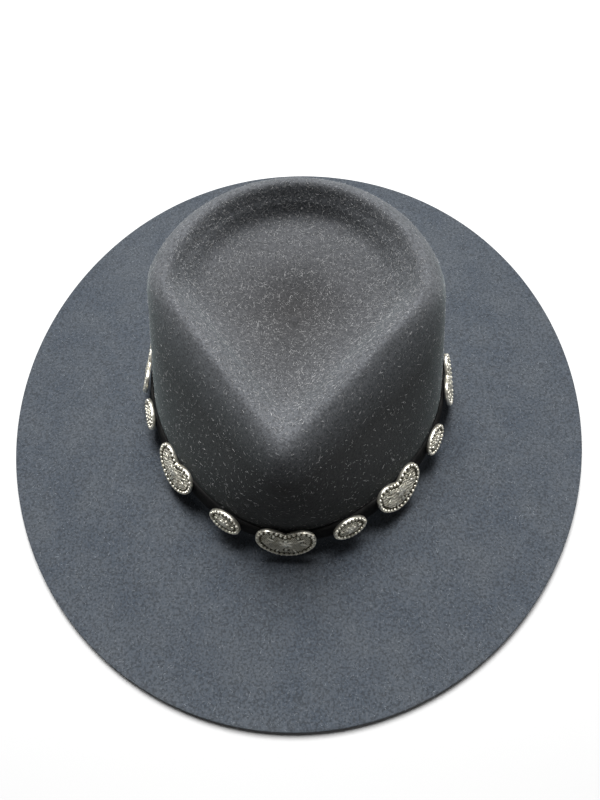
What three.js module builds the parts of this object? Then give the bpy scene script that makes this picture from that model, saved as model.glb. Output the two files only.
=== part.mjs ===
// A wide-brimmed felt hat with a pinched teardrop crown, and a thin strap round the crown that
// carries silver hearts and ovals in turn.
// Millimetres, +Z up. The underside of the brim lies on z = 0, the front of the hat faces -Y,
// and the origin is under the middle of the brim.
import * as THREE from "three";

// Felt body
const feltThickness = 2.2;
const crownLength = 208; // twice the run from the crown's middle that the section table shares out
const crownWidth = 178;
const crownHeight = 109; // above the surface that the hat lies on
const crownSetBack = 2.6; // the crown's middle lies this far behind the brim's
const brimLength = 378;
const brimWidth = 346;
const brimEdgeLift = 3;
const foldRadius = 6; // where the crown turns out into the brim
const pinchAngle = THREE.MathUtils.degToRad(50); // turn of each pinched front face from the front
const creaseSharpness = 9; // higher makes the creases beside the pinched faces tighter
const topSharpness = 15; // the same for the rows named in topSections
const dentMiddle = 0.755; // height of the dent's middle, as a share of crownHeight

// Strap
const strapHeight = 11;
const strapThickness = 1.6;
const strapLift = 19.5; // from the top of the brim to the middle of the strap
const clearance = 0.3; // between pieces that touch on the real hat

// Silver pieces on the strap
const conchoPairs = 8; // one heart and one oval in each pair
const conchoLean = THREE.MathUtils.degToRad(9.5); // each lies against the strap's top and leans out below
const heart = { width: 32, height: 26, notch: 5.5, rim: 3, thickness: 2.4, sunk: 0.7, dome: 1.2, points: 24 };
const oval = { width: 19.5, height: 15, notch: 0, rim: 2.6, thickness: 2.2, sunk: 0.6, dome: 1, points: 16 };

// How far each piece has slid from its even place, from the front towards +X and round. A place
// that isn't listed has slid nowhere.
const slides = {
  oval_concho_1: -3.1,
  heart_concho_2: -6.2,
  oval_concho_2: -6.5,
  heart_concho_3: -4.8,
  oval_concho_3: -3.5,
  heart_concho_4: -2.3,
  oval_concho_4: -1.2,
  oval_concho_5: 1.1,
  heart_concho_6: 2.2,
  oval_concho_6: 3.2,
  heart_concho_7: 4.4,
  oval_concho_7: -2.4,
  heart_concho_8: -0.4,
  oval_concho_8: 3.3,
};

// Half of a heart's outline, as shares of its half width and half height: one curve from the notch
// over the lobe to the side, and one from there down to the tip. out and in are each curve's
// control points.
const heartCurves = {
  lobe: { outX: 0.5, outY: 1.17, inX: 1, inY: 1.02, endX: 1, endY: 0.22 },
  flank: { outX: 1, outY: -0.35, inX: 0.5, inY: -1, endX: 0, endY: -1 },
};

// Grid of the felt
const halfSectors = 32;
const sectors = 2 * halfSectors;

// Crown, from the dent outwards and down to the foot. side is a share of half the width. front, back
// and pinch are shares of half the length, and pinch is how far each pinched face lies from the
// middle. The z columns are shares of crownHeight.
const crownSections = {
  dentFloor: { side: 0.3, front: 0.34, back: 0.3, pinch: 0.22, zFront: 0.775, zSide: 0.775, zBack: 0.8 },
  dentEdge: { side: 0.57, front: 0.61, back: 0.565, pinch: 0.37, zFront: 0.835, zSide: 0.84, zBack: 0.835 },
  dentWall: { side: 0.65, front: 0.79, back: 0.615, pinch: 0.425, zFront: 0.89, zSide: 0.925, zBack: 0.925 },
  ridge: { side: 0.72, front: 0.94, back: 0.66, pinch: 0.5, zFront: 0.925, zSide: 0.995, zBack: 1 },
  shoulder: { side: 0.83, front: 0.975, back: 0.745, pinch: 0.55, zFront: 0.88, zSide: 0.945, zBack: 0.945 },
  highWall: { side: 0.905, front: 0.97, back: 0.865, pinch: 0.65, zFront: 0.68, zSide: 0.72, zBack: 0.72 },
  middleWall: { side: 0.94, front: 0.945, back: 0.945, pinch: 0.79, zFront: 0.44, zSide: 0.45, zBack: 0.45 },
  lowWall: { side: 0.975, front: 0.95, back: 1, pinch: 0.97, zFront: 0.19, zSide: 0.19, zBack: 0.19 },
};
const topSections = ["dentWall", "ridge", "shoulder"];
const footSection = { side: 1, front: 0.965, back: 1.02, pinch: 1.01 };

// Fold, as shares of foldRadius out from the foot and up from the brim.
const foldSections = {
  top: { out: 0, up: 1 },
  middle: { out: 1 - Math.SQRT1_2, up: 1 - Math.SQRT1_2 },
  root: { out: 1, up: 0 },
};

// Brim. out is a share of the run from its root to its edge, and the rest are shares of brimEdgeLift.
const brimSections = {
  flatStart: { out: 0.12, front: 0, side: 0, back: 0 },
  flatMiddle: { out: 0.36, front: 0, side: 0, back: 0 },
  flatEnd: { out: 0.6, front: 0, side: 0, back: 0 },
  rise: { out: 0.82, front: 0.1, side: 0.35, back: 0.1 },
  edge: { out: 1, front: 0.4, side: 1, back: 0.4 },
};
const crownSteps = 2; // grid steps between two rows of the crown's table, and one step elsewhere

const feltMaterial = new THREE.MeshStandardMaterial({ color: 0x2b2f34, roughness: 0.95, metalness: 0 });
const strapMaterial = new THREE.MeshStandardMaterial({ color: 0x121214, roughness: 0.6, metalness: 0 });
const silverMaterial = new THREE.MeshStandardMaterial({ color: 0xb9b6a8, roughness: 0.4, metalness: 1 });

// Angles run from the front, which is -Y, towards +X.
const angleOf = (sector) => (sector * Math.PI) / halfSectors;
const range = (count) => Array.from({ length: count }, (_, i) => i);

// A value that goes from front through side to back as the angle turns.
function around(angle, front, side, back) {
  const along = Math.cos(angle) ** 2;
  const end = Math.cos(angle) > 0 ? front : back;
  return end * along + side * (1 - along);
}

// Outline of one crown section: an ellipse whose front is cut by the two pinched faces.
function sectionRadius(row, angle, sharpness = creaseSharpness) {
  const end = Math.cos(angle) > 0 ? row.front : row.back;
  const across = Math.sin(angle) / ((row.side * crownWidth) / 2);
  const along = Math.cos(angle) / ((end * crownLength) / 2);
  const pinches = [-pinchAngle, pinchAngle].map(
    (turn) => Math.max(0, Math.cos(angle - turn)) / ((row.pinch * crownLength) / 2),
  );
  const gauges = [Math.hypot(across, along), ...pinches];
  const sum = gauges.reduce((total, gauge) => total + gauge ** sharpness, 0);
  return sum ** (-1 / sharpness);
}

// A point at a radius from the crown's middle.
function crownPoint(radius, angle, z) {
  return new THREE.Vector3(radius * Math.sin(angle), crownSetBack - radius * Math.cos(angle), z);
}

function foldPoint(row, angle) {
  const radius = sectionRadius(footSection, angle) + row.out * foldRadius;
  return crownPoint(radius, angle, feltThickness + row.up * foldRadius);
}

function brimPoint(row, angle) {
  const root = foldPoint(foldSections.root, angle);
  const edge = new THREE.Vector3((brimWidth / 2) * Math.sin(angle), (-brimLength / 2) * Math.cos(angle), 0);
  const point = root.lerp(edge, row.out);
  point.z = feltThickness + brimEdgeLift * around(angle, row.front, row.side, row.back);
  return point;
}

// Every section's point at one angle, from the dent out to the edge of the brim.
function sectionPoints(angle) {
  const crown = Object.entries(crownSections).map(([name, row]) => {
    const sharpness = topSections.includes(name) ? topSharpness : creaseSharpness;
    const z = crownHeight * around(angle, row.zFront, row.zSide, row.zBack);
    return crownPoint(sectionRadius(row, angle, sharpness), angle, z);
  });
  const fold = Object.values(foldSections).map((row) => foldPoint(row, angle));
  const brim = Object.values(brimSections).map((row) => brimPoint(row, angle));
  return [...crown, ...fold, ...brim];
}

const crownMiddle = new THREE.Vector3(0, crownSetBack, dentMiddle * crownHeight);
const crownCount = Object.keys(crownSections).length;
const brimCount = Object.keys(brimSections).length;
const sectionCount = crownCount + Object.keys(foldSections).length + brimCount;

// Places along a curve, counted in sections from the crown's middle, where the felt has a ring.
function ringPlaces() {
  const crown = range(crownCount * crownSteps).map((i) => (i + 1) / crownSteps);
  const rest = range(sectionCount - crownCount).map((i) => crownCount + i + 1);
  return [...crown, ...rest];
}

// Outer face of the felt as rings of points. Each curve runs right across the hat through the
// crown's middle, so it serves two opposite sectors and the dent stays smooth there.
function outerRings() {
  const places = ringPlaces();
  const rings = places.map(() => []);
  for (const sector of range(halfSectors)) {
    const ahead = sectionPoints(angleOf(sector));
    const behind = sectionPoints(angleOf(sector + halfSectors));
    const across = [...ahead.reverse(), crownMiddle, ...behind];
    const curve = new THREE.CatmullRomCurve3(across, false, "centripetal");
    places.forEach((place, ring) => {
      rings[ring][sector] = curve.getPoint((1 - place / sectionCount) / 2);
      rings[ring][sector + halfSectors] = curve.getPoint((1 + place / sectionCount) / 2);
    });
  }
  return rings;
}

// Closed surface through rings of equal length. With two end points the first and last ring are
// closed by fans, and without them the last ring joins the first.
function loft(rings, start, end) {
  const size = rings[0].length;
  const points = rings.flat();
  const faces = [];
  const spans = start ? rings.length - 1 : rings.length;
  for (const ring of range(spans)) {
    const inner = ring * size;
    const outer = ((ring + 1) % rings.length) * size;
    for (const i of range(size)) {
      const next = (i + 1) % size;
      faces.push(inner + i, outer + i, outer + next);
      faces.push(inner + i, outer + next, inner + next);
    }
  }
  if (start) {
    const last = (rings.length - 1) * size;
    const startIndex = points.push(start) - 1;
    const endIndex = points.push(end) - 1;
    for (const i of range(size)) {
      const next = (i + 1) % size;
      faces.push(startIndex, i, next);
      faces.push(endIndex, last + next, last + i);
    }
  }
  const geometry = new THREE.BufferGeometry().setFromPoints(points);
  geometry.setIndex(faces);
  geometry.computeVertexNormals();
  return geometry;
}

function named(name, geometry, material) {
  const mesh = new THREE.Mesh(geometry, material);
  mesh.name = name;
  return mesh;
}

// Inner face of the felt: the outer one moved in along its normals, and straight down under the brim.
function innerRings(outer) {
  const normals = loft(outer, crownMiddle, new THREE.Vector3(0, crownSetBack, 0)).getAttribute("normal");
  const firstFlat = outer.length - brimCount - 1;
  return outer.map((ring, i) =>
    ring.map((point, sector) => {
      const normal = new THREE.Vector3(0, 0, 1);
      if (i < firstFlat) normal.fromBufferAttribute(normals, i * sectors + sector);
      return point.clone().addScaledVector(normal, -feltThickness);
    }),
  );
}

function feltBody(outer) {
  const inner = innerRings(outer);
  const underMiddle = crownMiddle.clone();
  underMiddle.z -= feltThickness;
  return named("felt_body", loft([...outer, ...inner.reverse()], crownMiddle, underMiddle), feltMaterial);
}

// Point of the crown's wall at one height, on the straight line between two rings.
function wallPoint(outer, sector, z) {
  const top = outer.findLastIndex((ring) => ring[sector].z > z);
  const high = outer[top][sector];
  const low = outer[top + 1][sector];
  return new THREE.Vector3().lerpVectors(low, high, (z - low.z) / (high.z - low.z));
}

// The strap's outward direction at a sector.
function wallNormal(outer, sector, low, high) {
  const before = wallPoint(outer, (sector + sectors - 1) % sectors, (low + high) / 2);
  const after = wallPoint(outer, (sector + 1) % sectors, (low + high) / 2);
  const upwards = wallPoint(outer, sector, high).sub(wallPoint(outer, sector, low));
  return after.sub(before).cross(upwards).normalize();
}

// The strap's section, as shares of its height down from its top, on its inner or outer face.
const strapSection = [
  { down: 0, out: clearance },
  { down: 0, out: clearance + strapThickness },
  { down: 0.5, out: clearance + strapThickness },
  { down: 1, out: clearance + strapThickness },
  { down: 1, out: clearance },
  { down: 0.5, out: clearance },
];
// The outer face's middle row, which the silver pieces are spaced along, comes before the inner face's.
const isMiddleRow = (row) => row.down === 0.5;
const strapTop = feltThickness + strapLift + strapHeight / 2;

function strapRings(outer) {
  const low = strapTop - strapHeight;
  return strapSection.map((row) =>
    range(sectors).map((sector) => {
      const point = wallPoint(outer, sector, strapTop - row.down * strapHeight);
      return point.addScaledVector(wallNormal(outer, sector, low, strapTop), row.out);
    }),
  );
}

// Outline as wide and tall as the size says, an oval or a heart with its notch upwards.
function outline(size) {
  if (!size.notch) {
    return new THREE.EllipseCurve(0, 0, size.width / 2, size.height / 2).getPoints(size.points).slice(1);
  }
  const { lobe, flank } = heartCurves;
  const notchY = 1 - (2 * size.notch) / size.height;
  const shape = new THREE.Shape();
  shape.moveTo(0, notchY);
  shape.bezierCurveTo(-lobe.outX, lobe.outY, -lobe.inX, lobe.inY, -lobe.endX, lobe.endY);
  shape.bezierCurveTo(-flank.outX, flank.outY, -flank.inX, flank.inY, -flank.endX, flank.endY);
  shape.bezierCurveTo(flank.inX, flank.inY, flank.outX, flank.outY, lobe.endX, lobe.endY);
  shape.bezierCurveTo(lobe.inX, lobe.inY, lobe.outX, lobe.outY, 0, notchY);
  const scale = new THREE.Vector2(size.width / 2, size.height / 2);
  return shape.getPoints(size.points / 4).slice(1).map((point) => point.multiply(scale));
}

// A cast plate with a flat back, a raised rim and a domed field inside it. Its back lies on z = 0.
function concho(size) {
  const inside = 1 - (2 * size.rim) / size.height;
  const field = size.thickness - size.sunk;
  const layers = [
    { scale: inside / 2, z: field + size.dome * 0.8 },
    { scale: inside, z: field },
    { scale: (1 + inside) / 2, z: size.thickness },
    { scale: 1, z: size.thickness * 0.8 },
    { scale: 1, z: 0 },
  ];
  const edge = outline(size);
  const rings = layers.map((layer) =>
    edge.map((point) => new THREE.Vector3(point.x * layer.scale, point.y * layer.scale, layer.z)),
  );
  return loft(rings, new THREE.Vector3(0, 0, field + size.dome), new THREE.Vector3(0, 0, 0));
}

// Place on a ring at a share of its length round from the front, moved on by a slide.
function alongRing(ring, share, slide) {
  const lengths = ring.map((point, i) => point.distanceTo(ring[(i + 1) % ring.length]));
  let left = share * lengths.reduce((total, length) => total + length, 0) + slide;
  let i = 0;
  while (left > lengths[i]) left -= lengths[i++];
  const next = ring[(i + 1) % ring.length];
  const point = ring[i].clone().lerp(next, left / lengths[i]);
  return { sector: i + left / lengths[i], point };
}

// A frame on the strap's outer face: right along the strap, up along the leaning piece and outwards.
function seatFrame(outer, strap, share, slide) {
  const { sector, point } = alongRing(strap[strapSection.findIndex(isMiddleRow)], share, slide);
  const low = strapTop - strapHeight;
  const before = wallNormal(outer, Math.floor(sector) % sectors, low, strapTop);
  const after = wallNormal(outer, Math.ceil(sector) % sectors, low, strapTop);
  const outwards = before.lerp(after, sector % 1).normalize();
  const right = new THREE.Vector3(0, 0, 1).cross(outwards).normalize();
  const up = outwards.clone().cross(right);
  const upright = new THREE.Matrix4().makeBasis(right, up, outwards).setPosition(point);
  return upright.multiply(new THREE.Matrix4().makeRotationX(-conchoLean));
}

// Puts a plate on its frame, as far out as the strap and the felt behind it need.
function seat(mesh, frame, size, behind) {
  const toFrame = frame.clone().invert();
  const local = behind.map((point) => point.clone().applyMatrix4(toFrame));
  const covered = local.filter((p) => Math.abs(p.x) < size.width / 2 && Math.abs(p.y) < size.height / 2);
  const out = Math.max(...covered.map((p) => p.z)) + clearance;
  frame.multiply(new THREE.Matrix4().makeTranslation(0, 0, out));
  frame.decompose(mesh.position, mesh.quaternion, mesh.scale);
  return mesh;
}

function conchos(outer, strap) {
  const behind = [...strap.flat(), ...outer.flat()];
  const group = new THREE.Group();
  for (const pair of range(conchoPairs)) {
    const kinds = [
      { name: "heart_concho_", size: heart, share: pair / conchoPairs },
      { name: "oval_concho_", size: oval, share: (pair + 0.5) / conchoPairs },
    ];
    for (const kind of kinds) {
      const mesh = named(kind.name + (pair + 1), concho(kind.size), silverMaterial.clone());
      const frame = seatFrame(outer, strap, kind.share, slides[mesh.name] ?? 0);
      group.add(seat(mesh, frame, kind.size, behind));
    }
  }
  return group;
}

function hat() {
  const outer = outerRings();
  const strap = strapRings(outer);
  const group = new THREE.Group();
  group.add(feltBody(outer));
  group.add(named("hat_band", loft(strap), strapMaterial));
  group.add(conchos(outer, strap));
  return group;
}

export default hat();
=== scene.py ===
"""Looks of a wide-brimmed black felt hat with a strap of silver hearts and ovals. Metres."""
import math

import bpy
import numpy as np
from mathutils import Matrix, Vector


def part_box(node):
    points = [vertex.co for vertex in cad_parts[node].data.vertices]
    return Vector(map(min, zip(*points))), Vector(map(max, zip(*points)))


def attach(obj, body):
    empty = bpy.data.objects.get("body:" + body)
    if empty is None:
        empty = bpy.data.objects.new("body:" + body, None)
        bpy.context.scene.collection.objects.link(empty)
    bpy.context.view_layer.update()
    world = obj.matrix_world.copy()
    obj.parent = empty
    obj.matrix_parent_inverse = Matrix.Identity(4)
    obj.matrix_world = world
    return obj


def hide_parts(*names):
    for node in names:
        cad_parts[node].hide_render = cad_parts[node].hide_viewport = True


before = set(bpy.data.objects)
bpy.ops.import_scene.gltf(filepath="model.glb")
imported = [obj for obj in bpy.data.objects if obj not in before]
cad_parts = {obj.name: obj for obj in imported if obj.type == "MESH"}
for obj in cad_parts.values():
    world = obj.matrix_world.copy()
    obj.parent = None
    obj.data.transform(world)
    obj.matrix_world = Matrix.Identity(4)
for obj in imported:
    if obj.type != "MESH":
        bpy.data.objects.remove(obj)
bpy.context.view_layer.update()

MM = 0.001
SEED = 7
rng = np.random.default_rng(SEED)

# Felt body, in the same sizes as its solid
felt_low, felt_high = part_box("felt_body")
BRIM_WIDTH = felt_high.x - felt_low.x
BRIM_LENGTH = felt_high.y - felt_low.y
FELT_THICKNESS = 2.2 * MM
CROWN_LENGTH = 208 * MM
CROWN_WIDTH = 178 * MM
CROWN_HEIGHT = 109 * MM
CROWN_SET_BACK = 2.6 * MM
BRIM_EDGE_LIFT = 3 * MM
FOLD_RADIUS = 6 * MM
PINCH_ANGLE = math.radians(50)
CREASE_SHARPNESS = 9
TOP_SHARPNESS = 15
DENT_MIDDLE = 0.755

# The point that closes the dent. The dip below lowers the rings round it and not this point, which
# leaves a small spike there.
CROWN_MIDDLE = np.array([0, CROWN_SET_BACK, DENT_MIDDLE * CROWN_HEIGHT])

# Shares of half the width for side, of half the length for front, back and pinch, and of the
# crown's height for the last three.
CROWN_COLUMNS = ("side", "front", "back", "pinch", "z_front", "z_side", "z_back")
CROWN_SECTIONS = {
    "dent floor": (0.3, 0.34, 0.3, 0.22, 0.775, 0.775, 0.8),
    "dent edge": (0.57, 0.61, 0.565, 0.37, 0.835, 0.84, 0.835),
    "dent wall": (0.65, 0.79, 0.615, 0.425, 0.89, 0.925, 0.925),
    "ridge": (0.72, 0.94, 0.66, 0.5, 0.925, 0.995, 1),
    "shoulder": (0.83, 0.975, 0.745, 0.55, 0.88, 0.945, 0.945),
    "high wall": (0.905, 0.97, 0.865, 0.65, 0.68, 0.72, 0.72),
    "middle wall": (0.94, 0.945, 0.945, 0.79, 0.44, 0.45, 0.45),
    "low wall": (0.975, 0.95, 1, 0.97, 0.19, 0.19, 0.19),
}
TOP_SECTIONS = ("dent wall", "ridge", "shoulder")
FOOT_SECTION = {"side": 1, "front": 0.965, "back": 1.02, "pinch": 1.01}

# Shares of the fold's radius out from the foot and up from the brim
FOLD_SECTIONS = {"top": (0, 1), "middle": (1 - math.sqrt(0.5), 1 - math.sqrt(0.5)), "root": (1, 0)}

# Share of the run from root to edge, then shares of the edge's lift
BRIM_SECTIONS = {
    "flat start": (0.12, 0, 0, 0),
    "flat middle": (0.36, 0, 0, 0),
    "flat end": (0.6, 0, 0, 0),
    "rise": (0.82, 0.1, 0.35, 0.1),
    "edge": (1, 0.4, 1, 0.4),
}
SECTORS = 256
CROWN_STEPS = 11
FOLD_STEPS = 5
BRIM_STEPS = 9


def place_of(name):
    """Place of a crown section, counted in sections from the crown's middle."""
    return 1 + list(CROWN_SECTIONS).index(name)


RIDGE_PLACE = place_of("ridge")
FOLD_TOP_PLACE = len(CROWN_SECTIONS) + 1
BRIM_PLACE = len(CROWN_SECTIONS) + len(FOLD_SECTIONS)

# Small unevenness that only the looks have: a dip in the dent's floor, a faint crease inside each
# edge of the pinched front, and waves that grow along the brim
DIP = {"x": 0, "y": 13 * MM, "reach": 20 * MM, "depth": 5.5 * MM}
CREASE = {"place": place_of("dent wall"), "width": 0.1, "depth": 0.45 * MM}
CREASE_TURNS = {"from": math.radians(28), "to": math.radians(85), "fade_in": 0.15, "fade_out": 0.3}
BRIM_WAVE = {"height": 0.7 * MM, "growth": 3}
BRIM_RIPPLES = ({"share": 0.6, "count": 2, "turn": 1}, {"share": 0.4, "count": 5, "turn": 2})

# Rounding of the cut edge: how far in from the edge in mm, and the share of the way down
EDGE_ROUNDING = ((0.5, 0), (0.15, 0.06), (0, 0.25), (0, 0.75), (0.15, 0.94), (0.5, 1))


def around(angle, front, side, back):
    """A value that goes from front through side to back as the angle turns."""
    along = np.cos(angle) ** 2
    end = np.where(np.cos(angle) > 0, front, back)
    return end * along + side * (1 - along)


def section_radius(row, angle, sharpness=CREASE_SHARPNESS):
    """Outline of a crown section: an ellipse whose front is cut by the two pinched faces."""
    end = np.where(np.cos(angle) > 0, row["front"], row["back"]) * CROWN_LENGTH / 2
    across = np.sin(angle) / (row["side"] * CROWN_WIDTH / 2)
    total = np.hypot(across, np.cos(angle) / end) ** sharpness
    for turn in (-PINCH_ANGLE, PINCH_ANGLE):
        flat = np.maximum(0, np.cos(angle - turn)) / (row["pinch"] * CROWN_LENGTH / 2)
        total = total + flat ** sharpness
    return total ** (-1 / sharpness)


def crown_point(radius, angle, z):
    return np.stack([radius * np.sin(angle), CROWN_SET_BACK - radius * np.cos(angle), z], -1)


def fold_point(out, up, angle):
    radius = section_radius(FOOT_SECTION, angle) + out * FOLD_RADIUS
    return crown_point(radius, angle, np.full_like(angle, FELT_THICKNESS + up * FOLD_RADIUS))


def brim_point(out, front, side, back, angle):
    root = fold_point(*FOLD_SECTIONS["root"], angle)
    edge = np.stack([BRIM_WIDTH / 2 * np.sin(angle), -BRIM_LENGTH / 2 * np.cos(angle), 0 * angle], -1)
    point = root + (edge - root) * out
    point[:, 2] = FELT_THICKNESS + BRIM_EDGE_LIFT * around(angle, front, side, back)
    return point


def section_points(angle):
    """Points of every section at every angle, from the dent out to the brim's edge."""
    points = []
    for name, values in CROWN_SECTIONS.items():
        row = dict(zip(CROWN_COLUMNS, values))
        sharpness = TOP_SHARPNESS if name in TOP_SECTIONS else CREASE_SHARPNESS
        z = CROWN_HEIGHT * around(angle, row["z_front"], row["z_side"], row["z_back"])
        points.append(crown_point(section_radius(row, angle, sharpness), angle, z))
    points += [fold_point(*values, angle) for values in FOLD_SECTIONS.values()]
    points += [brim_point(*values, angle) for values in BRIM_SECTIONS.values()]
    return np.array(points)


def root_gap(a, b):
    """Square root of the distance between points, which spaces a centripetal curve."""
    return np.sqrt(np.linalg.norm(b - a, axis=-1, keepdims=True))


def smooth_span(p0, p1, p2, p3, count):
    """Rings on the centripetal curve from p1 to p2, p2 included."""
    d0 = root_gap(p0, p1)
    d1 = root_gap(p1, p2)
    d2 = root_gap(p2, p3)
    start = d1 * ((p1 - p0) / d0 - (p2 - p0) / (d0 + d1) + (p2 - p1) / d1)
    end = d1 * ((p2 - p1) / d1 - (p3 - p1) / (d1 + d2) + (p3 - p2) / d2)
    rings = []
    for step in range(1, count + 1):
        t = step / count
        cubic = (2 * p1 - 2 * p2 + start + end) * t**3
        square = (-3 * p1 + 3 * p2 - 2 * start - end) * t**2
        rings.append(p1 + start * t + square + cubic)
    return rings


def add_unevenness(rings, places, angle):
    """Lowers the rings by the dip and the creases, and lifts the brim in waves."""
    on_dent = places[:, None] < RIDGE_PLACE
    apart = np.hypot(rings[..., 0] - DIP["x"], rings[..., 1] - DIP["y"]) / DIP["reach"]
    rings[..., 2] -= on_dent * DIP["depth"] * np.exp(-apart**2)
    turn = np.abs((angle + np.pi) % (2 * np.pi) - np.pi)
    begun = np.clip((turn - CREASE_TURNS["from"]) / CREASE_TURNS["fade_in"], 0, 1)
    left = np.clip((CREASE_TURNS["to"] - turn) / CREASE_TURNS["fade_out"], 0, 1)
    groove = np.exp(-((places - CREASE["place"]) / CREASE["width"]) ** 2)[:, None]
    rings[..., 2] -= CREASE["depth"] * groove * begun * left
    brim_share = np.clip((places - places[-1]) / len(BRIM_SECTIONS) + 1, 0, 1)[:, None]
    waves = np.ones_like(angle)
    for ripple in BRIM_RIPPLES:
        waves += ripple["share"] * np.sin(ripple["count"] * angle + ripple["turn"])
    rings[..., 2] += brim_share ** BRIM_WAVE["growth"] * BRIM_WAVE["height"] * waves


def outer_rings(angle):
    """The felt's outer face as rings of points, and each ring's place counted in sections."""
    points = section_points(angle)
    middle = np.broadcast_to(CROWN_MIDDLE, points[0].shape)
    opposite = np.roll(points[0], len(angle) // 2, axis=0)
    beyond = 2 * points[-1] - points[-2]
    chain = [opposite, middle, *points, beyond]
    steps = [CROWN_STEPS] * len(CROWN_SECTIONS)
    steps += [FOLD_STEPS] * len(FOLD_SECTIONS)
    steps += [BRIM_STEPS] * len(BRIM_SECTIONS)
    rings = []
    places = []
    for i, count in enumerate(steps):
        rings += smooth_span(*chain[i:i + 4], count)
        places += [i + (step + 1) / count for step in range(count)]
    rings = np.array(rings)
    places = np.array(places)
    rings[..., 2] = np.maximum(rings[..., 2], FELT_THICKNESS)
    add_unevenness(rings, places, angle)
    return rings, places


def ring_normals(rings, middle):
    """Outward normals of a grid of rings that starts at a middle point."""
    first = np.broadcast_to(middle, rings[:1].shape)
    previous = np.concatenate([first, rings[:-1]])
    following = np.concatenate([rings[1:], rings[-1:]])
    round_it = np.roll(rings, -1, axis=1) - np.roll(rings, 1, axis=1)
    normals = np.cross(following - previous, round_it)
    return normals / np.linalg.norm(normals, axis=-1, keepdims=True)


def loft(rings, start=None, end=None):
    """Vertices and faces through rings of equal length. Without end points the last joins the first."""
    rings = np.asarray(rings)
    count, size = rings.shape[:2]
    vertices = rings.reshape(-1, 3).tolist()
    faces = []
    for ring in range(count - 1 if start is not None else count):
        inner = ring * size
        outer = (ring + 1) % count * size
        for i in range(size):
            following = (i + 1) % size
            faces.append((inner + i, outer + i, outer + following, inner + following))
    if start is not None:
        last = (count - 1) * size
        top = len(vertices)
        bottom = top + 1
        vertices += [list(start), list(end)]
        faces += [(top, i, (i + 1) % size) for i in range(size)]
        faces += [(bottom, last + (i + 1) % size, last + i) for i in range(size)]
    return vertices, faces


def add_piece(name, vertices, faces, material, node=None, smooth=True):
    """A mesh object that rides on the hat and, where a node is named, stands for it."""
    mesh = bpy.data.meshes.new(name)
    mesh.from_pydata(vertices, [], faces)
    mesh.update()
    mesh.polygons.foreach_set("use_smooth", [smooth] * len(mesh.polygons))
    mesh.materials.append(material)
    piece = bpy.data.objects.new(name, mesh)
    bpy.context.scene.collection.objects.link(piece)
    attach(piece, "root")
    if node:
        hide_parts(node)
    return piece


# Materials

# The felt's colours. The crown's walls and front are darker than its top as painted shade, to follow the
# photograph.
# The brim's bluer colours are a painted cast of light, and the darker wall cloud and wall grain are painted
# shade.
FELT_COLOURS = {
    "brim": (0.039, 0.048, 0.061),
    "brim cloud with painted blue cast": (0.058, 0.066, 0.076),
    "top": (0.064, 0.067, 0.072),
    "top cloud": (0.084, 0.087, 0.094),
    "wall": (0.020, 0.019, 0.0192),
    "wall cloud in painted shade": (0.026, 0.0245, 0.0248),
    "front": (0.009, 0.0078, 0.0072),
    "grain": (0.100, 0.108, 0.120),
    "wall grain in painted shade": (0.050, 0.049, 0.049),
    "pit": (0.012, 0.013, 0.014),
    "fleck": (0.22, 0.22, 0.22),
    "sheen": (0.70, 0.84, 0.86),
}

# Where the painted shade and the brim's painted cast of light turn, and where the flecks begin:
# heights from brim to wall and from wall to top, and places along Y from the sides to the front
WALL_FOOT = (6 * MM, 20 * MM)
WALL_TOP = (75 * MM, 96 * MM)
PAINTED_FRONT_SHADE_FADE = (-60 * MM, -95 * MM)
PAINTED_FRONT_SHADE_SHARE = 0.8

# Patches of noise in the felt's colour: low and high are the noise's values where a patch begins and
# is full, and most is how much of its colour a full patch has.
FELT_PATCHES = {
    "cloud": {"size": 28 * MM, "detail": 4, "roughness": 0.6, "low": 0.35, "high": 0.65, "most": 0.8},
    "grain": {"size": 0.9 * MM, "detail": 3, "roughness": 0.7, "low": 0.42, "high": 0.68, "most": 0.5},
    "pit": {"size": 1.3 * MM, "detail": 2, "roughness": 0.6, "low": 0.55, "high": 0.38, "most": 0.5},
    "fleck": {"size": 0.5 * MM, "detail": 1, "roughness": 0.5, "low": 0.60, "high": 0.74, "most": 0.55},
}
FELT_BUMPS = (
    {"size": 2.6 * MM, "detail": 4, "roughness": 0.6, "distance": 0.35 * MM, "strength": 0.7},
    {"size": 0.7 * MM, "detail": 3, "roughness": 0.7, "distance": 0.25 * MM, "strength": 0.8},
)
NAP_SHADE = 0.6  # the darkest fibres' colour as a share of the palest

LEATHER = {"colour": (0.005, 0.005, 0.005), "rubbed": (0.014, 0.0135, 0.013), "specular": 0.12}

# Silver where it stands proud and in its recesses
SILVER = {"bright": (0.97, 0.94, 0.83), "dark": (0.50, 0.46, 0.35), "roughness": 0.30}
RECESS = {"bright": (0.16, 0.145, 0.10), "dark": (0.045, 0.04, 0.028), "roughness": 0.45}
ROUGHNESS_RANGE = 0.22


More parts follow.
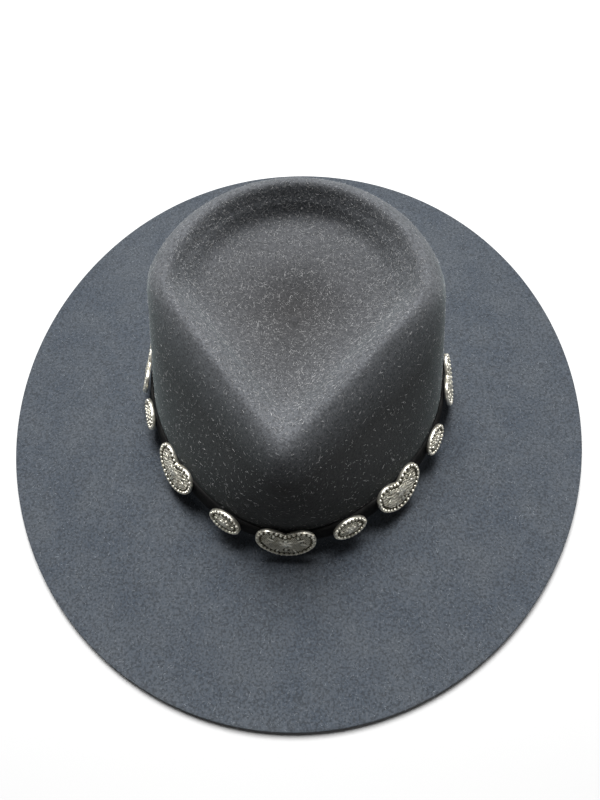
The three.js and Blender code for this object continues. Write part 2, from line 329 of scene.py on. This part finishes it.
class Nodes:
    """A material's node tree, with short calls for the nodes that the materials here use."""

    def __init__(self, name):
        self.material = bpy.data.materials.new(name)
        self.material.use_nodes = True
        self.tree = self.material.node_tree
        self.shader = self.tree.nodes["Principled BSDF"]
        coordinates = self.tree.nodes.new("ShaderNodeTexCoord")
        self.place = coordinates.outputs["Object"]

    def set(self, **values):
        for name, value in values.items():
            self.shader.inputs[name.replace("_", " ")].default_value = value

    def link(self, output, target):
        socket = self.shader.inputs[target] if isinstance(target, str) else target
        self.tree.links.new(output, socket)

    def noise(self, size, detail=2, roughness=0.5):
        """Noise with features of about that size in metres."""
        node = self.tree.nodes.new("ShaderNodeTexNoise")
        node.inputs["Scale"].default_value = 1 / size
        node.inputs["Detail"].default_value = detail
        node.inputs["Roughness"].default_value = roughness
        self.link(self.place, node.inputs["Vector"])
        return node.outputs["Fac"]

    def cells(self, size):
        node = self.tree.nodes.new("ShaderNodeTexVoronoi")
        node.inputs["Scale"].default_value = 1 / size
        self.link(self.place, node.inputs["Vector"])
        return node.outputs["Distance"]

    def spread(self, value, low, high, to_low=0.0, to_high=1.0):
        node = self.tree.nodes.new("ShaderNodeMapRange")
        for name, number in zip(("From Min", "From Max", "To Min", "To Max"), (low, high, to_low, to_high)):
            node.inputs[name].default_value = number
        self.link(value, node.inputs["Value"])
        return node.outputs["Result"]

    def patches(self, size, detail, roughness, low, high, most):
        """Share of a colour that comes and goes in patches."""
        return self.spread(self.noise(size, detail, roughness), low, high, 0, most)

    def both(self, first, second):
        node = self.tree.nodes.new("ShaderNodeMath")
        node.operation = "MULTIPLY"
        self.link(first, node.inputs[0])
        self.link(second, node.inputs[1])
        return node.outputs[0]

    def mix(self, share, first, second):
        """Colour between two, each a colour or another node's output."""
        node = self.tree.nodes.new("ShaderNodeMix")
        node.data_type = "RGBA"
        self.link(share, node.inputs["Factor"])
        for name, value in (("A", first), ("B", second)):
            socket = [i for i in node.inputs if i.name == name and i.type == "RGBA"][0]
            if isinstance(value, tuple):
                socket.default_value = (*value, 1)
            else:
                self.link(value, socket)
        return [o for o in node.outputs if o.type == "RGBA"][0]

    def bump(self, height, distance, strength=1.0, under=None):
        node = self.tree.nodes.new("ShaderNodeBump")
        node.inputs["Distance"].default_value = distance
        node.inputs["Strength"].default_value = strength
        self.link(height, node.inputs["Height"])
        if under:
            self.link(under, node.inputs["Normal"])
        return node.outputs["Normal"]


def felt_material():
    """Black wool felt: pressed fibres with a paler nap, bluer on the brim than on the crown as a painted
    cast of light, and darker on the crown's walls and front as painted shade.
    """
    felt = Nodes("felt")
    colours = FELT_COLOURS
    place = felt.tree.nodes.new("ShaderNodeSeparateXYZ")
    felt.link(felt.place, place.inputs["Vector"])
    height = place.outputs["Z"]
    on_crown = felt.spread(height, *WALL_FOOT)
    on_top = felt.spread(height, *WALL_TOP)
    below_top = felt.spread(height, *WALL_TOP[::-1])
    # Share of the painted shade that darkens the crown's front
    painted_front_shade = felt.spread(place.outputs["Y"], *PAINTED_FRONT_SHADE_FADE, 0, PAINTED_FRONT_SHADE_SHARE)
    share = {name: felt.patches(**patch) for name, patch in FELT_PATCHES.items()}

    # Painted shade: walls darker than the top and darkest at the front, with a darker wall cloud; the
    # brim's bluish base and cloud are a painted cast of light.
    wall = felt.mix(painted_front_shade, colours["wall"], colours["front"])
    crown = felt.mix(on_top, wall, colours["top"])
    base = felt.mix(on_crown, colours["brim"], crown)
    crown_cloud = felt.mix(on_top, colours["wall cloud in painted shade"], colours["top cloud"])
    cloud = felt.mix(on_crown, colours["brim cloud with painted blue cast"], crown_cloud)
    clouded = felt.mix(share["cloud"], base, cloud)
    # The grain is painted darker on the walls as shade.
    grain = felt.mix(felt.both(on_crown, below_top), colours["grain"], colours["wall grain in painted shade"])
    grained = felt.mix(share["grain"], clouded, grain)
    pitted = felt.mix(share["pit"], grained, colours["pit"])
    flecked = felt.mix(felt.both(share["fleck"], on_top), pitted, colours["fleck"])
    felt.link(flecked, "Base Color")

    felt.set(Roughness=0.95, Sheen_Weight=0.14, Sheen_Roughness=0.4, Sheen_Tint=(*colours["sheen"], 1))
    felt.set(Specular_IOR_Level=0.2)
    normal = None
    for row in FELT_BUMPS:
        relief = felt.noise(row["size"], row["detail"], row["roughness"])
        normal = felt.bump(relief, row["distance"], row["strength"], normal)
    felt.link(normal, "Normal")
    return felt.material


def nap_material(name, colour):
    """Loose wool fibres on the felt."""
    nap = Nodes(name)
    shade = nap.spread(nap.noise(size=4 * MM, detail=1), low=0.35, high=0.65)
    darkest = tuple(NAP_SHADE * value for value in colour)
    nap.link(nap.mix(shade, colour, darkest), "Base Color")
    nap.set(Roughness=0.8)
    return nap.material


def strap_material():
    """Black leather with a fine grain, rubbed a little paler."""
    leather = Nodes("strap_leather")
    rub = leather.spread(leather.noise(size=9 * MM, detail=3), low=0.45, high=0.75)
    leather.link(leather.mix(rub, LEATHER["colour"], LEATHER["rubbed"]), "Base Color")
    wear = leather.noise(size=3 * MM, detail=2)
    leather.link(leather.spread(wear, low=0.3, high=0.7, to_low=0.7, to_high=0.9), "Roughness")
    leather.set(Specular_IOR_Level=LEATHER["specular"])
    wide = leather.bump(leather.noise(size=5 * MM, detail=2), distance=0.2 * MM, strength=0.4)
    fine = leather.bump(leather.cells(size=0.9 * MM), distance=0.12 * MM, strength=0.6, under=wide)
    leather.link(fine, "Normal")
    return leather.material


def silver_material(name, bright, dark, roughness):
    """Antique silver, tarnished in patches."""
    silver = Nodes(name)
    tarnish = silver.spread(silver.noise(size=2.2 * MM, detail=4, roughness=0.65), low=0.50, high=0.72)
    silver.link(silver.mix(tarnish, bright, dark), "Base Color")
    wear = silver.noise(size=1.1 * MM, detail=3)
    silver.link(silver.spread(wear, 0.3, 0.7, roughness, roughness + ROUGHNESS_RANGE), "Roughness")
    silver.set(Metallic=1)
    pits = silver.bump(silver.noise(size=0.45 * MM, detail=3), distance=0.05 * MM, strength=0.6)
    silver.link(pits, "Normal")
    return silver.material


# Felt

def felt_piece(rings, places):
    """The felt as one closed shell with a rounded cut edge."""
    normals = ring_normals(rings, CROWN_MIDDLE)
    normals[places >= BRIM_PLACE] = (0, 0, 1)
    inner = rings - normals * FELT_THICKNESS
    edge = rings[-1]
    inwards = rings[-2] - edge
    inwards[:, 2] = 0
    inwards /= np.linalg.norm(inwards, axis=-1, keepdims=True)
    rim = []
    for back, down in EDGE_ROUNDING:
        point = edge + inwards * back * MM
        point[:, 2] -= down * FELT_THICKNESS
        rim.append(point)
    under = CROWN_MIDDLE - (0, 0, FELT_THICKNESS)
    chain = np.concatenate([rings[:-1], rim, inner[:-1][::-1]])
    vertices, faces = loft(chain, CROWN_MIDDLE, under)
    return add_piece("felt_cloth", vertices, faces, felt_material(), "felt_body")


# Silver pieces, whose own sizes are in mm

CONCHO_PAIRS = 8
HEART_HEIGHT = 26
HEART_NOTCH = 5.5

# Right half of a heart two units wide and tall, as the control points of two curves from its notch
HEART_CURVES = (
    ((0, 1 - 2 * HEART_NOTCH / HEART_HEIGHT), (0.5, 1.17), (1, 1.02), (1, 0.22)),
    ((1, 0.22), (1, -0.35), (0.5, -1), (0, -1)),
)
CURVE_SAMPLES = 200
OUTLINE_POINTS = 96

# Section of a casting from its back to its field: how far in from the outline, and the height
CASTING_SECTION = (
    (0.2, 0), (0, 0.25), (0, 1.8), (0.1, 1.95), (0.25, 1.9), (0.4, 1.5),
    (1.95, 1.4), (2.2, 1.65), (2.5, 1.45),
)
FIELD_INSET, FIELD_LEVEL = CASTING_SECTION[-1]
DOME_SHARES = (0.75, 0.5, 0.25)
DOME_RISE = 0.66

# Faces of a casting's body that are tarnished as a recess: inside a share of its size or below a
# level, and facing out
RIM_LEVEL = 1.8
RECESS_SHARE = 0.8
FACING_COSINE = 0.5

# Relief. proud is a middle's height over the field, and rise is half the thickness.
BEAD = {"inset": 1.05, "radius": 0.92, "height": 1.7, "sides": 10, "rows": 7}
LEAF = {"proud": 0.2, "rise": 0.55, "sides": 10, "rows": 6}
FLOWER = {"petals": 6, "proud": 0.25, "eye_proud": 0.45, "eye_share": 0.42, "eye_rise": 0.6}
GRAIN = {"proud": 0.15, "row_share": 0.87, "sides": 6, "rows": 4}

# Relief of each kind. clear is how far the grains stay from a middle, and each entry of clearings is
# the middle and that distance.
HEART = {
    "beads": 32,
    "flower": {"centre": (0, 0.5), "reach": 4.2, "width": 2.1, "turn": math.pi / 2},
    "stem": {"centre": (0, -4.2), "direction": -math.pi / 2, "length": 4.2, "width": 1.8},
    "clearings": ((0, 0.5, 2.8), (0, -6.2, 2)),
    "leaf_spread": 0.82,
    "leaf_width": 1.5,
    "leaf_clear": 0.36,
    "grains": {"inset": 3.0, "spacing": 0.95, "radius": 0.36},
}
OVAL = {
    "beads": 22,
    "flower": {"centre": (0, 0), "reach": 3.4, "width": 1.7, "turn": 0},
    "clearings": ((0, 0, 2.2),),
    "leaf": {"start": 3.9, "middle": 5.2, "length": 2.6, "width": 1.5, "clear": 1.5},
    "grains": {"inset": 2.9, "spacing": 0.9, "radius": 0.34},
}

# Leaves of a heart's right half: start along X and Y, turn in degrees, and length. A start's X is
# drawn in by leaf_spread, and leaf_clear is a share of the length.
HEART_LEAVES = ((7.2, 2.4, 35, 5), (8.2, 4.6, 100, 3.6), (9.6, 1.0, -20, 3.6), (4.4, -5.2, -60, 3.8))

# A plate's flat back: digits of a normal that faces are gathered by, and how alike they then are
NORMAL_DIGITS = 2
FLAT_COSINE = 0.9999


def heart_outline(count):
    """A heart two units wide and tall with its notch up, as evenly spaced points."""
    points = []
    for curve in HEART_CURVES:
        a, b, c, d = [np.array(point) for point in curve]
        for t in np.linspace(0, 1, CURVE_SAMPLES, endpoint=False)[:, None]:
            points.append((1 - t) ** 3 * a + 3 * (1 - t) ** 2 * t * b + 3 * (1 - t) * t**2 * c + t**3 * d)
    points = np.array(points)
    mirrored = points[:0:-1] * (-1, 1)
    tip = HEART_CURVES[-1][-1]
    path = np.concatenate([points, [tip], mirrored])[::-1]
    return even(path, count)


def oval_outline(count):
    turn = np.linspace(0, 2 * np.pi, 2 * CURVE_SAMPLES, endpoint=False)
    return even(np.stack([-np.sin(turn), np.cos(turn)], -1), count)


def even(path, count):
    """Evenly spaced points on a closed path."""
    closed = np.concatenate([path, path[:1]])
    lengths = np.concatenate([[0], np.cumsum(np.linalg.norm(np.diff(closed, axis=0), axis=1))])
    places = np.arange(count) * lengths[-1] / count
    return np.stack([np.interp(places, lengths, closed[:, k]) for k in (0, 1)], -1)


def inset(path, distance):
    """A closed anticlockwise path moved in by a distance."""
    along = np.roll(path, -1, axis=0) - np.roll(path, 1, axis=0)
    along /= np.linalg.norm(along, axis=1, keepdims=True)
    inwards = np.stack([-along[:, 1], along[:, 0]], -1)
    return path + inwards * distance


def inside(path, x, y):
    following = np.roll(path, -1, axis=0)
    crosses = (path[:, 1] > y) != (following[:, 1] > y)
    level = 1e-12  # keeps a level edge from dividing by nothing
    slope = (following[:, 0] - path[:, 0]) * (y - path[:, 1]) / (following[:, 1] - path[:, 1] + level)
    return np.count_nonzero(crosses & (x < path[:, 0] + slope)) % 2 == 1


def ball(centre, radii, turn=0.0, sides=8, rows=5):
    """A closed ball or egg, with its long side turned about Z."""
    angle = np.linspace(0, 2 * np.pi, sides, endpoint=False)
    cosine = math.cos(turn)
    sine = math.sin(turn)
    rings = []
    for row in range(1, rows):
        up = math.pi * row / rows
        x = radii[0] * math.sin(up) * np.cos(angle)
        y = radii[1] * math.sin(up) * np.sin(angle)
        z = np.full_like(angle, radii[2] * math.cos(up))
        rings.append(np.stack([x * cosine - y * sine, x * sine + y * cosine, z], -1) + centre)
    top = np.array(centre) + (0, 0, radii[2])
    bottom = np.array(centre) - (0, 0, radii[2])
    return loft(rings, top, bottom)


def casting(outline, size, beads):
    """Body and beads of a cast piece, each as its vertices, its faces and whether it can be a recess."""
    edge = outline(OUTLINE_POINTS) * np.array(size) / 2
    rings = []
    for back, height in CASTING_SECTION:
        path = inset(edge, back)
        rings.append(np.column_stack([path, np.full(len(path), height)]))
    field = rings[-1]
    middle = field.mean(axis=0)
    for share in DOME_SHARES:
        rings.append(middle + (field - middle) * share + (0, 0, DOME_RISE * (1 - share**2)))
    front = middle + (0, 0, DOME_RISE)
    body = loft(rings[::-1], front, middle * (1, 1, 0))
    parts = [(*body, True)]
    radii = [BEAD["radius"]] * 3
    for x, y in even(inset(edge, BEAD["inset"]), beads):
        bead = ball((x, y, BEAD["height"]), radii, 0, BEAD["sides"], BEAD["rows"])
        parts.append((*bead, False))
    return parts


def field_height(size, x, y):
    """Height of a casting's domed field."""
    share = math.hypot(x / (size[0] / 2 - FIELD_INSET), y / (size[1] / 2 - FIELD_INSET))
    return FIELD_LEVEL + DOME_RISE * max(0, 1 - share**2)


def leaf(parts, size, centre, direction, length, width, proud=LEAF["proud"]):
    """A raised leaf that points from a centre in a direction."""
    x = centre[0] + math.cos(direction) * length / 2
    y = centre[1] + math.sin(direction) * length / 2
    height = field_height(size, x, y) + proud
    radii = (length / 2, width / 2, LEAF["rise"])
    parts.append((*ball((x, y, height), radii, direction, LEAF["sides"], LEAF["rows"]), False))


def flower(parts, size, centre, reach, width, turn):
    for petal in range(FLOWER["petals"]):
        direction = turn + 2 * math.pi * petal / FLOWER["petals"]
        leaf(parts, size, centre, direction, reach, width, FLOWER["proud"])
    height = field_height(size, *centre) + FLOWER["eye_proud"]
    eye = width * FLOWER["eye_share"]
    parts.append((*ball((*centre, height), (eye, eye, FLOWER["eye_rise"])), False))


def grains(parts, size, outline, pattern, clearings):
    """Small grains in rows over the field, clear of the relief."""
    path = inset(outline(OUTLINE_POINTS) * np.array(size) / 2, pattern["inset"])
    low = path.min(axis=0)
    high = path.max(axis=0)
    spacing = pattern["spacing"]
    radii = [pattern["radius"]] * 3
    row = 0
    y = low[1]
    while y < high[1]:
        x = low[0] + (row % 2) * spacing / 2
        while x < high[0]:
            if inside(path, x, y) and all(math.hypot(x - a, y - b) > r for a, b, r in clearings):
                height = field_height(size, x, y) + GRAIN["proud"]
                parts.append((*ball((x, y, height), radii, 0, GRAIN["sides"], GRAIN["rows"]), False))
            x += spacing
        y += spacing * GRAIN["row_share"]
        row += 1


def heart_parts(size):
    parts = casting(heart_outline, size, HEART["beads"])
    flower(parts, size, **HEART["flower"])
    clearings = list(HEART["clearings"])
    for side in (-1, 1):
        for x, y, turn, length in HEART_LEAVES:
            direction = math.radians(turn) if side > 0 else math.pi - math.radians(turn)
            start = (side * x * HEART["leaf_spread"], y)
            leaf(parts, size, start, direction, length, HEART["leaf_width"])
            middle_x = start[0] + math.cos(direction) * length / 2
            middle_y = start[1] + math.sin(direction) * length / 2
            clearings.append((middle_x, middle_y, length * HEART["leaf_clear"]))
    leaf(parts, size, **HEART["stem"])
    grains(parts, size, heart_outline, HEART["grains"], clearings)
    return parts


def oval_parts(size):
    parts = casting(oval_outline, size, OVAL["beads"])
    flower(parts, size, **OVAL["flower"])
    clearings = list(OVAL["clearings"])
    row = OVAL["leaf"]
    for direction in (0, math.pi):
        start = (row["start"] * math.cos(direction), 0)
        leaf(parts, size, start, direction, row["length"], row["width"])
        clearings.append((row["middle"] * math.cos(direction), 0, row["clear"]))
    grains(parts, size, oval_outline, OVAL["grains"], clearings)
    return parts


def plate_frame(node):
    """Frame of a flat-backed node: origin at its back's middle, Z outwards, Y up the crown."""
    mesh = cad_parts[node].data
    areas = {}
    for face in mesh.polygons:
        key = tuple(round(value, NORMAL_DIGITS) for value in face.normal)
        areas[key] = areas.get(key, 0) + face.area
    back = Vector(max(areas, key=areas.get)).normalized()
    flat = [f for f in mesh.polygons if f.normal.dot(back) > FLAT_COSINE]
    outwards = -flat[0].normal
    right = Vector((0, 0, 1)).cross(outwards).normalized()
    up = outwards.cross(right)
    corners = [mesh.vertices[i].co for f in flat for i in f.vertices]
    across = [c.dot(right) for c in corners]
    along = [c.dot(up) for c in corners]
    depth = corners[0].dot(outwards)
    size = (max(across) - min(across), max(along) - min(along))
    origin = right * (max(across) + min(across)) / 2 + up * (max(along) + min(along)) / 2 + outwards * depth
    turned = Matrix((right, up, outwards)).transposed().to_4x4()
    return Matrix.Translation(origin) @ turned, size


def silver_piece(name, node, parts, place, size, bright, dark):
    """A cast piece at its node's place, with the darker silver in its recesses."""
    vertices = []
    faces = []
    can_be_recess = []
    for part_vertices, part_faces, part_can_be_recess in parts:
        start = len(vertices)
        vertices += [place @ (Vector(v) * MM) for v in part_vertices]
        faces += [tuple(start + i for i in face) for face in part_faces]
        can_be_recess += [part_can_be_recess] * len(part_faces)
    piece = add_piece(name, vertices, faces, bright, node)
    piece.data.materials.append(dark)
    to_plate = place.inverted()
    for face, in_body in zip(piece.data.polygons, can_be_recess):
        x, y, z = to_plate @ face.center
        within = math.hypot(x / size[0], y / size[1]) < RECESS_SHARE / 2 or z < RIM_LEVEL * MM
        facing = face.normal.dot(place.col[2].xyz) > FACING_COSINE
        face.material_index = 1 if in_body and within and facing else 0
    return piece


def silver_pieces():
    bright = silver_material("silver", **SILVER)
    dark = silver_material("silver_recess", **RECESS)
    for number in range(1, CONCHO_PAIRS + 1):
        for kind, make in (("heart", heart_parts), ("oval", oval_parts)):
            node = f"{kind}_concho_{number}"
            place, size = plate_frame(node)
            parts = make([value / MM for value in size])
            silver_piece(f"{kind}_casting_{number}", node, parts, place, size, bright, dark)


# Strap, between the felt and the silver pieces

STRAP_THICKNESS = 1.6 * MM
CLEARANCE = 0.3 * MM
STRAP_ROUNDING = 0.4 * MM
STRAP_SWELL = 0.08 * MM  # how far the middle of its outer face stands proud
STRAP_SWELL_SHARE = 0.4  # share of its height that stands proud
strap_low, strap_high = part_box("hat_band")


def wall_at(wall, z):
    """Points of the crown's wall at one height, one on each of its columns."""
    points = []
    for j in range(wall.shape[1]):
        column = wall[::-1, j]
        points.append([np.interp(z, column[:, 2], column[:, k]) for k in range(3)])
    return np.array(points)


def strap_section(half):
    """Height from the strap's middle and distance from the felt of each point of its section."""
    inner = CLEARANCE
    outer = CLEARANCE + STRAP_THICKNESS
    proud = outer + STRAP_SWELL
    soft = STRAP_ROUNDING
    swell = half * STRAP_SWELL_SHARE
    return [
        (half, inner + soft), (half, outer - soft), (half - soft, outer), (swell, proud),
        (-swell, proud), (-half + soft, outer), (-half, outer - soft), (-half, inner + soft),
        (-half + soft, inner), (0, inner), (half - soft, inner),
    ]


def strap_piece(rings, places):
    """The strap as a ring with rounded edges that follows the crown's wall."""
    wall = rings[(places > RIDGE_PLACE) & (places <= FOLD_TOP_PLACE)]
    middle_z = (strap_high.z + strap_low.z) / 2
    half = (strap_high.z - strap_low.z) / 2
    slope = wall_at(wall, middle_z + half) - wall_at(wall, middle_z - half)
    centre_line = wall_at(wall, middle_z)
    round_it = np.roll(centre_line, -1, axis=0) - np.roll(centre_line, 1, axis=0)
    normals = np.cross(round_it, slope)
    normals /= np.linalg.norm(normals, axis=1, keepdims=True)
    strap_rings = [wall_at(wall, middle_z + up) + normals * out for up, out in strap_section(half)]
    vertices, faces = loft(strap_rings)
    return add_piece("leather_strap", vertices, faces, strap_material(), "hat_band")


# Nap

# Fibres, with their lengths, widths and lifts off the felt in mm. The lengths over the shortest
# follow a gamma distribution of this shape and scale.
FIBRE_SIDES = 3
FIBRE_BEND = 0.7  # spread of the bend at a fibre's middle, in radians
FIBRE_LENGTH = {"shortest": 0.4, "shape": 2, "scale": 0.35}
FIBRE_WIDTHS = (0.025, 0.05)
FIBRE_LIFTS = (0.05, 0.35)
CROWN_NAP = {"count": 13500, "colour": (0.50, 0.50, 0.50), "wall_density": 0.4, "extra_on_top": 2}
BRIM_NAP = {"count": 7500, "colour": (0.30, 0.33, 0.36)}


def nap_piece(name, rings, normals, density, count, colour):
    """Loose fibres that lie on the felt, as thin closed prisms with one bend."""
    corner = rings[:-1]
    across = np.roll(rings, -1, axis=1)[:-1] - corner
    along = rings[1:] - corner
    area = np.linalg.norm(np.cross(across, along), axis=-1) * density[:, None]
    cells = rng.choice(area.size, count, p=(area / area.sum()).ravel())
    ring, sector = np.unravel_index(cells, area.shape)
    u, v = rng.random((2, count, 1))
    start = corner[ring, sector] + u * across[ring, sector] + v * along[ring, sector]
    normal = normals[ring, sector]
    side = across[ring, sector]
    side /= np.linalg.norm(side, axis=1, keepdims=True)
    other = np.cross(normal, side)
    turn = rng.uniform(0, 2 * np.pi, (count, 1))
    bend = rng.normal(0, FIBRE_BEND, (count, 1))
    extra_length = rng.gamma(FIBRE_LENGTH["shape"], FIBRE_LENGTH["scale"], (count, 1))
    length = extra_length * MM + FIBRE_LENGTH["shortest"] * MM
    width = rng.uniform(*FIBRE_WIDTHS, (count, 1)) * MM
    lift = rng.uniform(*FIBRE_LIFTS, (count, 2)) * MM
    first = np.cos(turn) * side + np.sin(turn) * other
    second = np.cos(turn + bend) * side + np.sin(turn + bend) * other
    knee = start + first * length / 2 + normal * lift[:, :1]
    tip = knee + second * length / 2 + normal * (lift[:, 1:] - lift[:, :1])
    stations = ((start, first), (knee, (first + second) / 2), (tip, second))
    vertices = []
    for point, direction in stations:
        flat = np.cross(normal, direction)
        for k in range(FIBRE_SIDES):
            angle = 2 * math.pi * k / FIBRE_SIDES
            vertices.append(point + width * (math.cos(angle) * flat + math.sin(angle) * normal))
    vertices = np.stack(vertices, 1).reshape(-1, 3)
    pattern = []
    for step in range(len(stations) - 1):
        for k in range(FIBRE_SIDES):
            a = step * FIBRE_SIDES + k
            b = step * FIBRE_SIDES + (k + 1) % FIBRE_SIDES
            pattern.append((a, b, b + FIBRE_SIDES, a + FIBRE_SIDES))
    first_cap = range(FIBRE_SIDES)[::-1]
    last_cap = range((len(stations) - 1) * FIBRE_SIDES, len(stations) * FIBRE_SIDES)
    starts = np.arange(count)[:, None, None] * len(stations) * FIBRE_SIDES
    quads = (starts + np.array(pattern)).reshape(-1, 4).tolist()
    ends = (starts + np.array([first_cap, last_cap])).reshape(-1, FIBRE_SIDES).tolist()
    material = nap_material(name, colour)
    return add_piece(name, vertices.tolist(), quads + ends, material, smooth=False)


def nap_pieces(rings, places):
    normals = ring_normals(rings, CROWN_MIDDLE)
    on_crown = places[:-1] < FOLD_TOP_PLACE
    on_top = places[:-1] < RIDGE_PLACE
    crown_density = on_crown * (CROWN_NAP["wall_density"] + CROWN_NAP["extra_on_top"] * on_top)
    brim_density = 1.0 * ~on_crown
    nap_piece("nap_crown", rings, normals, crown_density, CROWN_NAP["count"], CROWN_NAP["colour"])
    nap_piece("nap_brim", rings, normals, brim_density, BRIM_NAP["count"], BRIM_NAP["colour"])


# Studio

# The photograph's view: a phone's wide lens from above the front of the brim
FOCAL_PX = 620
IMAGE_LONG_PX = 800
SENSOR = 36
CAMERA_DISTANCE = 392 * MM
CAMERA_ELEVATION = math.radians(62.4)
CAMERA_AZIMUTH = math.radians(5.25)
CAMERA_ROLL = math.radians(-2.3)
CAMERA_TARGET = Vector((1.6, -3.4, 0)) * MM
CLIP_START = 0.01

LIGHTS = {
    "window": {"place": (-0.06, 0.5, 1.32), "size": 0.7, "power": 50},
    "fill_right": {"place": (1.3, 0.3, 0.6), "size": 0.8, "power": 1.5},
    "fill_left": {"place": (-1.3, 0.3, 0.6), "size": 0.8, "power": 0.3},
}
LIGHTS_AIM = Vector((0, 0, 0.04))
WORLD_COLOUR = (1, 1, 1, 1)
WORLD_STRENGTH = 0.09
FLOOR_COLOUR = (0.50, 0.50, 0.50, 1)
FLOOR_REACH = 3


def camera():
    level = math.cos(CAMERA_ELEVATION)
    across = math.sin(CAMERA_AZIMUTH)
    along = math.cos(CAMERA_AZIMUTH)
    back = Vector((across * level, -along * level, math.sin(CAMERA_ELEVATION)))
    right = Vector((along, across, 0))
    up = back.cross(right)
    turned_right = right * math.cos(CAMERA_ROLL) + up * math.sin(CAMERA_ROLL)
    turned_up = up * math.cos(CAMERA_ROLL) - right * math.sin(CAMERA_ROLL)
    data = bpy.data.cameras.new("camera")
    data.sensor_width = SENSOR
    data.lens = SENSOR * FOCAL_PX / IMAGE_LONG_PX
    data.clip_start = CLIP_START
    made = bpy.data.objects.new("camera", data)
    turned = Matrix((turned_right, turned_up, back)).transposed().to_4x4()
    made.matrix_world = Matrix.Translation(CAMERA_TARGET + back * CAMERA_DISTANCE) @ turned
    bpy.context.scene.collection.objects.link(made)
    bpy.context.scene.camera = made


def area_light(name, place, size, power):
    data = bpy.data.lights.new(name, "AREA")
    data.size = size
    data.energy = power
    made = bpy.data.objects.new(name, data)
    made.location = place
    made.rotation_euler = (LIGHTS_AIM - Vector(place)).to_track_quat("-Z", "Y").to_euler()
    bpy.context.scene.collection.objects.link(made)


def floor():
    material = Nodes("floor")
    material.set(Roughness=0.9, Base_Color=FLOOR_COLOUR)
    reach = FLOOR_REACH
    corners = [(-reach, -reach, 0), (reach, -reach, 0), (reach, reach, 0), (-reach, reach, 0)]
    mesh = bpy.data.meshes.new("floor")
    mesh.from_pydata(corners, [], [(0, 1, 2, 3)])
    mesh.materials.append(material.material)
    made = bpy.data.objects.new("floor", mesh)
    bpy.context.scene.collection.objects.link(made)


def studio():
    floor()
    for name, light in LIGHTS.items():
        area_light(name, **light)
    world = bpy.data.worlds.new("world")
    world.use_nodes = True
    background = world.node_tree.nodes["Background"]
    background.inputs["Color"].default_value = WORLD_COLOUR
    background.inputs["Strength"].default_value = WORLD_STRENGTH
    bpy.context.scene.world = world
    bpy.context.scene.view_settings.view_transform = "Standard"


camera()
studio()
angles = np.linspace(0, 2 * np.pi, SECTORS, endpoint=False)
rings, places = outer_rings(angles)
felt_piece(rings, places)
strap_piece(rings, places)
silver_pieces()
nap_pieces(rings, places)
